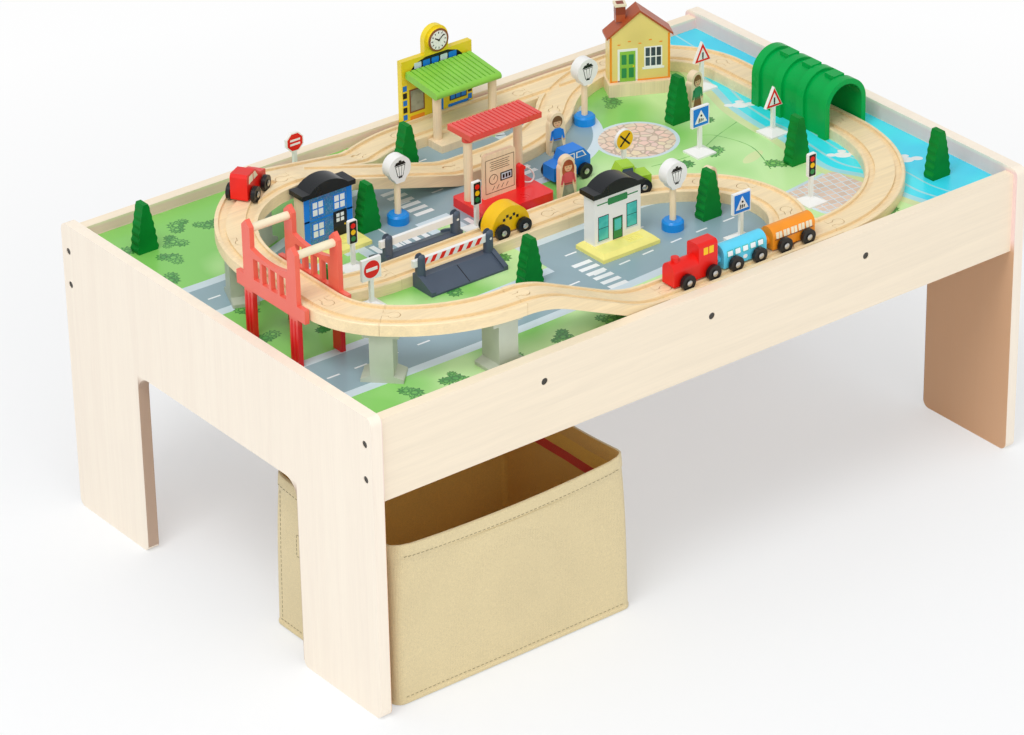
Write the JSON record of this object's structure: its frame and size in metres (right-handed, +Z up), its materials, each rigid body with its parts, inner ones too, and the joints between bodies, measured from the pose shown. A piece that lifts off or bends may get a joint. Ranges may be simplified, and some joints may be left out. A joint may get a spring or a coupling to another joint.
{
  "type": "train table",
  "caption": "Low wooden play table on two arched panel legs, with a printed board, wooden railway with ramps and bridge, toy town pieces, rolling vehicles and a fabric storage bin.",
  "frame": {"origin": "on the floor, under the middle of the table", "axes": "+X to the right along the table's length, +Y from the front to the back, +Z up"},
  "size_m": [0.8, 0.51, 0.422],
  "materials": {
    "panel_wood": "smooth lacquered panel",
    "batten_wood": "sawn",
    "board_print": "glossy printed sheet on a thin board",
    "screw_steel": "dark, recessed",
    "bin_fabric": "non-woven, sewn",
    "track_wood": "smooth beech",
    "pier_grey": "matte",
    "bridge_red": "matte",
    "cream_wood": "painted",
    "tunnel_green": "satin",
    "crossing_grey": "matte",
    "white_paint": "painted",
    "station_yellow": "printed",
    "canopy_green": "satin",
    "plain_wood": "smooth",
    "fuel_red": "satin",
    "string_white": "twisted string",
    "house_yellow": "printed",
    "roof_brown": "painted",
    "town_blue": "printed",
    "shop_white": "printed",
    "roof_black": "satin",
    "base_yellow": "matte",
    "tree_green": "painted",
    "lamp_blue": "painted",
    "lamp_white": "painted",
    "loco_red": "painted",
    "coach_blue": "painted",
    "coach_orange": "painted",
    "car_red": "painted",
    "car_yellow": "painted",
    "car_blue": "painted",
    "truck_green": "painted",
    "wheel_black": "satin"
  },
  "bodies": {
    "table": {"end_panel_left": "panel_wood", "end_panel_right": "panel_wood", "front_rail": "panel_wood", "back_rail": "panel_wood", "play_board": "board_print", "board_battens": "batten_wood", "frame_screws": "screw_steel", "straight_tracks": "track_wood", "curved_tracks": "track_wood", "ramp_tracks": "track_wood", "switch_tracks": "track_wood", "track_piers": "pier_grey", "bridge_sides": "bridge_red", "bridge_crossbars": "cream_wood", "tunnel": "tunnel_green", "crossing_deck": "crossing_grey", "station_wall": "station_yellow", "station_roof": "canopy_green", "wood_bases": "plain_wood", "wood_posts": "plain_wood", "fuel_base": "fuel_red", "fuel_roof": "fuel_red", "fuel_panel": "plain_wood", "fuel_hose": "string_white", "house_body": "house_yellow", "house_roof": "roof_brown", "townhouse_body": "town_blue", "shop_body": "shop_white", "shop_roofs": "roof_black", "shop_bases": "base_yellow", "trees": "tree_green", "lamp_bases": "lamp_blue", "lamp_heads": "lamp_white", "sign_bases": "white_paint", "road_signs": "white_paint", "figures": "plain_wood"},
    "storage_bin": {"storage_bin": "bin_fabric"},
    "barrier_front": {"barrier_front": "white_paint"},
    "barrier_back": {"barrier_back": "white_paint"},
    "loco": {"loco_body": "loco_red"},
    "blue_coach": {"blue_coach_body": "coach_blue"},
    "orange_coach": {"orange_coach_body": "coach_orange"},
    "red_car": {"red_car_body": "car_red"},
    "yellow_car": {"yellow_car_body": "car_yellow"},
    "blue_car": {"blue_car_body": "car_blue"},
    "green_truck": {"green_truck_body": "truck_green"},
    "loco_front_axle": {"loco_front_axle": "wheel_black"},
    "loco_rear_axle": {"loco_rear_axle": "wheel_black"},
    "blue_coach_front_axle": {"blue_coach_front_axle": "wheel_black"},
    "blue_coach_rear_axle": {"blue_coach_rear_axle": "wheel_black"},
    "orange_coach_front_axle": {"orange_coach_front_axle": "wheel_black"},
    "orange_coach_rear_axle": {"orange_coach_rear_axle": "wheel_black"},
    "red_car_front_axle": {"red_car_front_axle": "wheel_black"},
    "red_car_rear_axle": {"red_car_rear_axle": "wheel_black"},
    "yellow_car_front_axle": {"yellow_car_front_axle": "wheel_black"},
    "yellow_car_rear_axle": {"yellow_car_rear_axle": "wheel_black"},
    "blue_car_front_axle": {"blue_car_front_axle": "wheel_black"},
    "blue_car_rear_axle": {"blue_car_rear_axle": "wheel_black"},
    "green_truck_front_axle": {"green_truck_front_axle": "wheel_black"},
    "green_truck_rear_axle": {"green_truck_rear_axle": "wheel_black"}
  },
  "joints": [
    {"name": "bin_slide", "type": "slide", "parent": "table", "child": "storage_bin", "axis": [0, -1, 0], "range_m": [0, 0.25]},
    {"name": "barrier_front_lift", "type": "hinge", "parent": "table", "child": "barrier_front", "pos_m": [-0.11158, -0.05045, 0.327], "axis": [0, 1, 0], "range_deg": [0, 85]},
    {"name": "barrier_back_lift", "type": "hinge", "parent": "table", "child": "barrier_back", "pos_m": [-0.11158, 0.00155, 0.327], "axis": [0, 1, 0], "range_deg": [0, 85]},
    {"name": "loco_roll", "type": "slide", "parent": "table", "child": "loco", "axis": [1, 0, 0], "range_m": [-0.018, 0.036]},
    {"name": "blue_coach_roll", "type": "slide", "parent": "table", "child": "blue_coach", "axis": [1, 0, 0], "range_m": [-0.018, 0.036]},
    {"name": "orange_coach_roll", "type": "slide", "parent": "table", "child": "orange_coach", "axis": [1, 0, 0], "range_m": [-0.018, 0.036]},
    {"name": "yellow_car_roll", "type": "slide", "parent": "table", "child": "yellow_car", "axis": [1, 0, 0], "range_m": [-0.08, 0.04]},
    {"name": "blue_car_roll", "type": "slide", "parent": "table", "child": "blue_car", "axis": [1, 0, 0], "range_m": [-0.012, 0.02]},
    {"name": "red_car_roll", "type": "hinge", "parent": "table", "child": "red_car", "pos_m": [-0.186, -0.02195, 0.3693], "axis": [0, 0, 1], "range_deg": [-1, 22]},
    {"name": "green_truck_roll", "type": "hinge", "parent": "table", "child": "green_truck", "pos_m": [0.03195, -0.18645, 0.3173], "axis": [0, 0, 1], "range_deg": [-15, 8]},
    {"name": "loco_front_axle_spin", "type": "hinge", "parent": "loco", "child": "loco_front_axle", "pos_m": [-0.01255, -0.217, 0.3173], "axis": [0, 1, 0], "range_deg": [-130, 259]},
    {"name": "loco_rear_axle_spin", "type": "hinge", "parent": "loco", "child": "loco_rear_axle", "pos_m": [0.01895, -0.217, 0.3173], "axis": [0, 1, 0], "range_deg": [-130, 259]},
    {"name": "blue_coach_front_axle_spin", "type": "hinge", "parent": "blue_coach", "child": "blue_coach_front_axle", "pos_m": [0.04695, -0.217, 0.3173], "axis": [0, 1, 0], "range_deg": [-130, 259]},
    {"name": "blue_coach_rear_axle_spin", "type": "hinge", "parent": "blue_coach", "child": "blue_coach_rear_axle", "pos_m": [0.07595, -0.217, 0.3173], "axis": [0, 1, 0], "range_deg": [-130, 259]},
    {"name": "orange_coach_front_axle_spin", "type": "hinge", "parent": "orange_coach", "child": "orange_coach_front_axle", "pos_m": [0.10795, -0.217, 0.3173], "axis": [0, 1, 0], "range_deg": [-130, 259]},
    {"name": "orange_coach_rear_axle_spin", "type": "hinge", "parent": "orange_coach", "child": "orange_coach_rear_axle", "pos_m": [0.13695, -0.217, 0.3173], "axis": [0, 1, 0], "range_deg": [-130, 259]},
    {"name": "red_car_front_axle_spin", "type": "hinge", "parent": "red_car", "child": "red_car_front_axle", "pos_m": [-0.28485, 0.1064, 0.3693], "axis": [0.5446, -0.8387, 0], "range_deg": [-22, 446]},
    {"name": "red_car_rear_axle_spin", "type": "hinge", "parent": "red_car", "child": "red_car_rear_axle", "pos_m": [-0.26304, 0.12056, 0.3693], "axis": [0.5446, -0.8387, 0], "range_deg": [-22, 446]},
    {"name": "yellow_car_front_axle_spin", "type": "hinge", "parent": "yellow_car", "child": "yellow_car_front_axle", "pos_m": [-0.08386, -0.02445, 0.3173], "axis": [0, 1, 0], "range_deg": [-574, 288]},
    {"name": "yellow_car_rear_axle_spin", "type": "hinge", "parent": "yellow_car", "child": "yellow_car_rear_axle", "pos_m": [-0.05786, -0.02445, 0.3173], "axis": [0, 1, 0], "range_deg": [-574, 288]},
    {"name": "blue_car_front_axle_spin", "type": "hinge", "parent": "blue_car", "child": "blue_car_front_axle", "pos_m": [0.04717, 0.04518, 0.3083], "axis": [0, 1, 0], "range_deg": [-87, 145]},
    {"name": "blue_car_rear_axle_spin", "type": "hinge", "parent": "blue_car", "child": "blue_car_rear_axle", "pos_m": [0.07317, 0.04518, 0.3083], "axis": [0, 1, 0], "range_deg": [-87, 145]},
    {"name": "green_truck_front_axle_spin", "type": "hinge", "parent": "green_truck", "child": "green_truck_front_axle", "pos_m": [0.0623, -0.02731, 0.3173], "axis": [-0.2656, -0.9641, 0], "range_deg": [-304, 163]},
    {"name": "green_truck_rear_axle_spin", "type": "hinge", "parent": "green_truck", "child": "green_truck_rear_axle", "pos_m": [0.08737, -0.03422, 0.3173], "axis": [-0.2656, -0.9641, 0], "range_deg": [-304, 163]}
  ],
  "couplings": [
    {"joint": "blue_coach_roll", "follows": "loco_roll", "ratio": 1},
    {"joint": "orange_coach_roll", "follows": "loco_roll", "ratio": 1},
    {"joint": "loco_front_axle_spin", "follows": "loco_roll", "rad_per_m": 125},
    {"joint": "loco_rear_axle_spin", "follows": "loco_roll", "rad_per_m": 125},
    {"joint": "blue_coach_front_axle_spin", "follows": "loco_roll", "rad_per_m": 125},
    {"joint": "blue_coach_rear_axle_spin", "follows": "loco_roll", "rad_per_m": 125},
    {"joint": "orange_coach_front_axle_spin", "follows": "loco_roll", "rad_per_m": 125},
    {"joint": "orange_coach_rear_axle_spin", "follows": "loco_roll", "rad_per_m": 125},
    {"joint": "red_car_front_axle_spin", "follows": "red_car_roll", "ratio": 20.185},
    {"joint": "red_car_rear_axle_spin", "follows": "red_car_roll", "ratio": 20.185},
    {"joint": "yellow_car_front_axle_spin", "follows": "yellow_car_roll", "rad_per_m": 125},
    {"joint": "yellow_car_rear_axle_spin", "follows": "yellow_car_roll", "rad_per_m": 125},
    {"joint": "blue_car_front_axle_spin", "follows": "blue_car_roll", "rad_per_m": 125},
    {"joint": "blue_car_rear_axle_spin", "follows": "blue_car_roll", "rad_per_m": 125},
    {"joint": "green_truck_front_axle_spin", "follows": "green_truck_roll", "ratio": 20.185},
    {"joint": "green_truck_rear_axle_spin", "follows": "green_truck_roll", "ratio": 20.185}
  ]
}
